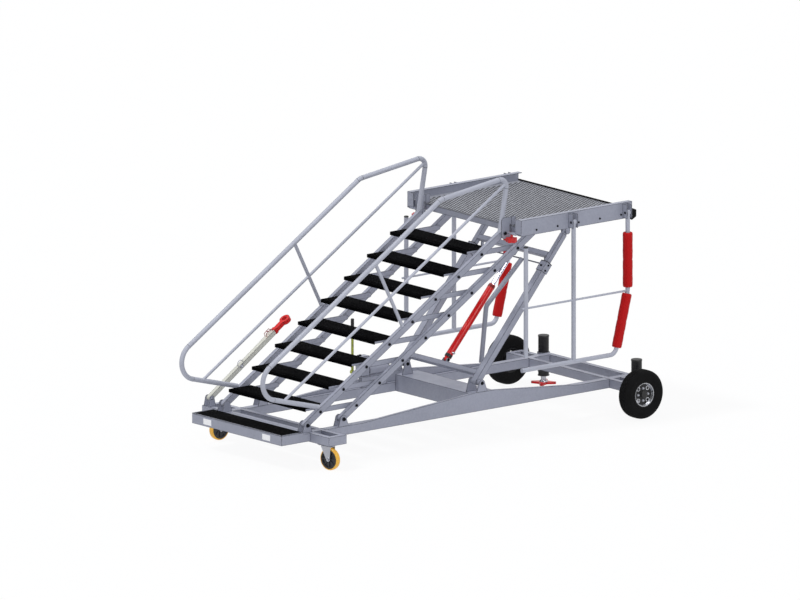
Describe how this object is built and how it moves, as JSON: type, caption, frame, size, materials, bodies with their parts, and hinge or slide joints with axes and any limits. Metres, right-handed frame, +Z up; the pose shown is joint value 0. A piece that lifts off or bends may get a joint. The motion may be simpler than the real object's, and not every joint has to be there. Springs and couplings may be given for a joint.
{
  "type": "mobile aircraft boarding stairs",
  "caption": "Towable boarding stairs: wheeled base with casters and jacks, level treads between parallelogram stringers, and a platform lifted by telescopic struts and a hydraulic ram.",
  "frame": {"origin": "on the ground under the middle of the whole machine, as stored", "axes": "+X to the right of someone going up, +Y to the rear from the foot of the stairs to the aircraft side, +Z up"},
  "size_m": [1.8556, 4.084, 2.1732],
  "materials": {
    "frame": "satin",
    "deck_plate": "embossed",
    "bare_steel": "zinc plated",
    "rod_chrome": "polished",
    "red_paint": "gloss",
    "red_plastic": "gloss",
    "red_foam": "soft matt foam",
    "black_paint": "satin",
    "tyre_rubber": "matt",
    "bumper_rubber": "matt",
    "caster_yellow": "satin",
    "caster_core": "matt",
    "marker_white": "matt"
  },
  "bodies": {
    "chassis": {"side_rails": "frame", "front_frame": "frame", "foot_tray": "frame", "reflectors": "marker_white", "cross_member": "frame", "rear_frame": "frame", "stub_axles": "bare_steel", "jack_tubes": "black_paint", "stair_lugs": "frame", "strut_lugs": "frame", "caster_plates": "frame", "tow_bracket": "frame", "hand_pump": "frame", "pump_lever": "bare_steel"},
    "stair": {"stringers_upper": "frame", "handrail_left": "frame", "handrail_right": "frame"},
    "lower_stringers": {"stringers_lower": "frame"},
    "platform": {"platform_beams": "frame", "platform_joists": "frame", "pivot_plates": "frame", "strut_ears": "frame", "deck": "deck_plate", "hinge_brackets": "frame", "bumper": "bumper_rubber", "knobs": "red_plastic", "knob_plates": "frame"},
    "strut_lower": {"strut_outer": "frame"},
    "strut_upper": {"strut_inner": "frame", "release_lever": "frame"},
    "ram_lower": {"ram_barrel": "red_paint"},
    "ram_upper": {"ram_rod": "rod_chrome"},
    "drawbar": {"tow_bar": "frame", "tow_eye": "red_paint"},
    "step_1": {"tread_1": "frame"},
    "step_2": {"tread_2": "frame"},
    "step_3": {"tread_3": "frame"},
    "step_4": {"tread_4": "frame"},
    "step_5": {"tread_5": "frame"},
    "step_6": {"tread_6": "frame"},
    "step_7": {"tread_7": "frame"},
    "step_8": {"tread_8": "frame"},
    "wheel_left": {"tyre_left": "tyre_rubber", "rim_left": "black_paint"},
    "caster_left": {"caster_fork_left": "bare_steel"},
    "caster_wheel_left": {"caster_tread_left": "caster_yellow", "caster_hub_left": "caster_core"},
    "jack_left": {"jack_stem_left": "bare_steel", "jack_foot_left": "red_paint"},
    "guard_left": {"guardrail_left": "frame", "sleeves_left": "red_foam"},
    "wheel_right": {"tyre_right": "tyre_rubber", "rim_right": "black_paint"},
    "caster_right": {"caster_fork_right": "bare_steel"},
    "caster_wheel_right": {"caster_tread_right": "caster_yellow", "caster_hub_right": "caster_core"},
    "jack_right": {"jack_stem_right": "bare_steel", "jack_foot_right": "red_paint"},
    "guard_right": {"guardrail_right": "frame", "sleeves_right": "red_foam"}
  },
  "joints": [
    {"name": "lift", "type": "hinge", "parent": "chassis", "child": "stair", "pos_m": [0, -1.5628, 0.354], "axis": [1, 0, 0], "range_deg": [0, 15]},
    {"name": "lower_stringers_turn", "type": "hinge", "parent": "chassis", "child": "lower_stringers", "pos_m": [0, -1.1718, 0.354], "axis": [1, 0, 0], "range_deg": [0, 15]},
    {"name": "platform_level", "type": "hinge", "parent": "stair", "child": "platform", "pos_m": [0, 0.56876, 1.69632], "axis": [1, 0, 0], "range_deg": [-15, 0]},
    {"name": "strut_turn", "type": "hinge", "parent": "chassis", "child": "strut_lower", "pos_m": [0, 0.3272, 0.45], "axis": [1, 0, 0], "range_deg": [0, 21.87]},
    {"name": "strut_slide", "type": "slide", "parent": "strut_lower", "child": "strut_upper", "axis": [0, 0.6451, 0.7641], "range_m": [0, 0.24111]},
    {"name": "ram_turn", "type": "hinge", "parent": "strut_lower", "child": "ram_lower", "pos_m": [0, 0.40261, 0.54862], "axis": [1, 0, 0], "range_deg": [0, 0.232]},
    {"name": "ram_slide", "type": "slide", "parent": "ram_lower", "child": "ram_upper", "axis": [0, 0.6605, 0.7508], "range_m": [0, 0.24107]},
    {"name": "drawbar_fold", "type": "hinge", "parent": "chassis", "child": "drawbar", "pos_m": [-0.76, -1.5278, 0.362], "axis": [1, 0, 0], "range_deg": [0, 146]},
    {"name": "step_1_level", "type": "hinge", "parent": "stair", "child": "step_1", "pos_m": [0, -1.41302, 0.44832], "axis": [1, 0, 0], "range_deg": [-15, 0]},
    {"name": "step_2_level", "type": "hinge", "parent": "stair", "child": "step_2", "pos_m": [0, -1.16399, 0.60515], "axis": [1, 0, 0], "range_deg": [-15, 0]},
    {"name": "step_3_level", "type": "hinge", "parent": "stair", "child": "step_3", "pos_m": [0, -0.91495, 0.76197], "axis": [1, 0, 0], "range_deg": [-15, 0]},
    {"name": "step_4_level", "type": "hinge", "parent": "stair", "child": "step_4", "pos_m": [0, -0.66592, 0.9188], "axis": [1, 0, 0], "range_deg": [-15, 0]},
    {"name": "step_5_level", "type": "hinge", "parent": "stair", "child": "step_5", "pos_m": [0, -0.41689, 1.07562], "axis": [1, 0, 0], "range_deg": [-15, 0]},
    {"name": "step_6_level", "type": "hinge", "parent": "stair", "child": "step_6", "pos_m": [0, -0.16785, 1.23245], "axis": [1, 0, 0], "range_deg": [-15, 0]},
    {"name": "step_7_level", "type": "hinge", "parent": "stair", "child": "step_7", "pos_m": [0, 0.08118, 1.38927], "axis": [1, 0, 0], "range_deg": [-15, 0]},
    {"name": "step_8_level", "type": "hinge", "parent": "stair", "child": "step_8", "pos_m": [0, 0.33022, 1.5461], "axis": [1, 0, 0], "range_deg": [-15, 0]},
    {"name": "wheel_left_spin", "type": "hinge", "parent": "chassis", "child": "wheel_left", "pos_m": [-0.869, 1.7872, 0.2075], "axis": [1, 0, 0], "continuous": true},
    {"name": "caster_left_swivel", "type": "hinge", "parent": "chassis", "child": "caster_left", "pos_m": [-0.726, -1.4938, 0.217], "axis": [0, 0, 1], "continuous": true},
    {"name": "caster_left_spin", "type": "hinge", "parent": "caster_left", "child": "caster_wheel_left", "pos_m": [-0.726, -1.4538, 0.0935], "axis": [1, 0, 0], "continuous": true},
    {"name": "jack_left_screw", "type": "slide", "parent": "chassis", "child": "jack_left", "axis": [0, 0, 1], "range_m": [-0.12, 0]},
    {"name": "guard_left_fold", "type": "hinge", "parent": "platform", "child": "guard_left", "pos_m": [-0.782, 1.71716, 1.75002], "axis": [0, 1, 0], "range_deg": [0, 180]},
    {"name": "wheel_right_spin", "type": "hinge", "parent": "chassis", "child": "wheel_right", "pos_m": [0.869, 1.7872, 0.2075], "axis": [1, 0, 0], "continuous": true},
    {"name": "caster_right_swivel", "type": "hinge", "parent": "chassis", "child": "caster_right", "pos_m": [0.726, -1.4938, 0.217], "axis": [0, 0, 1], "continuous": true},
    {"name": "caster_right_spin", "type": "hinge", "parent": "caster_right", "child": "caster_wheel_right", "pos_m": [0.76529, -1.4863, 0.0935], "axis": [0.1874, -0.9823, 0], "continuous": true},
    {"name": "jack_right_screw", "type": "slide", "parent": "chassis", "child": "jack_right", "axis": [0, 0, 1], "range_m": [-0.12, 0]},
    {"name": "guard_right_fold", "type": "hinge", "parent": "platform", "child": "guard_right", "pos_m": [0.782, 1.71716, 1.75002], "axis": [0, -1, 0], "range_deg": [0, 180]}
  ],
  "couplings": [
    {"joint": "lower_stringers_turn", "follows": "lift", "ratio": 1},
    {"joint": "platform_level", "follows": "lift", "ratio": -1},
    {"joint": "strut_turn", "follows": "lift", "ratio": 1.4515},
    {"joint": "strut_slide", "follows": "lift", "m_per_rad": 0.91715},
    {"joint": "ram_turn", "follows": "lift", "ratio": 0.014124},
    {"joint": "ram_slide", "follows": "lift", "m_per_rad": 0.917},
    {"joint": "step_1_level", "follows": "lift", "ratio": -1},
    {"joint": "step_2_level", "follows": "lift", "ratio": -1},
    {"joint": "step_3_level", "follows": "lift", "ratio": -1},
    {"joint": "step_4_level", "follows": "lift", "ratio": -1},
    {"joint": "step_5_level", "follows": "lift", "ratio": -1},
    {"joint": "step_6_level", "follows": "lift", "ratio": -1},
    {"joint": "step_7_level", "follows": "lift", "ratio": -1},
    {"joint": "step_8_level", "follows": "lift", "ratio": -1}
  ]
}
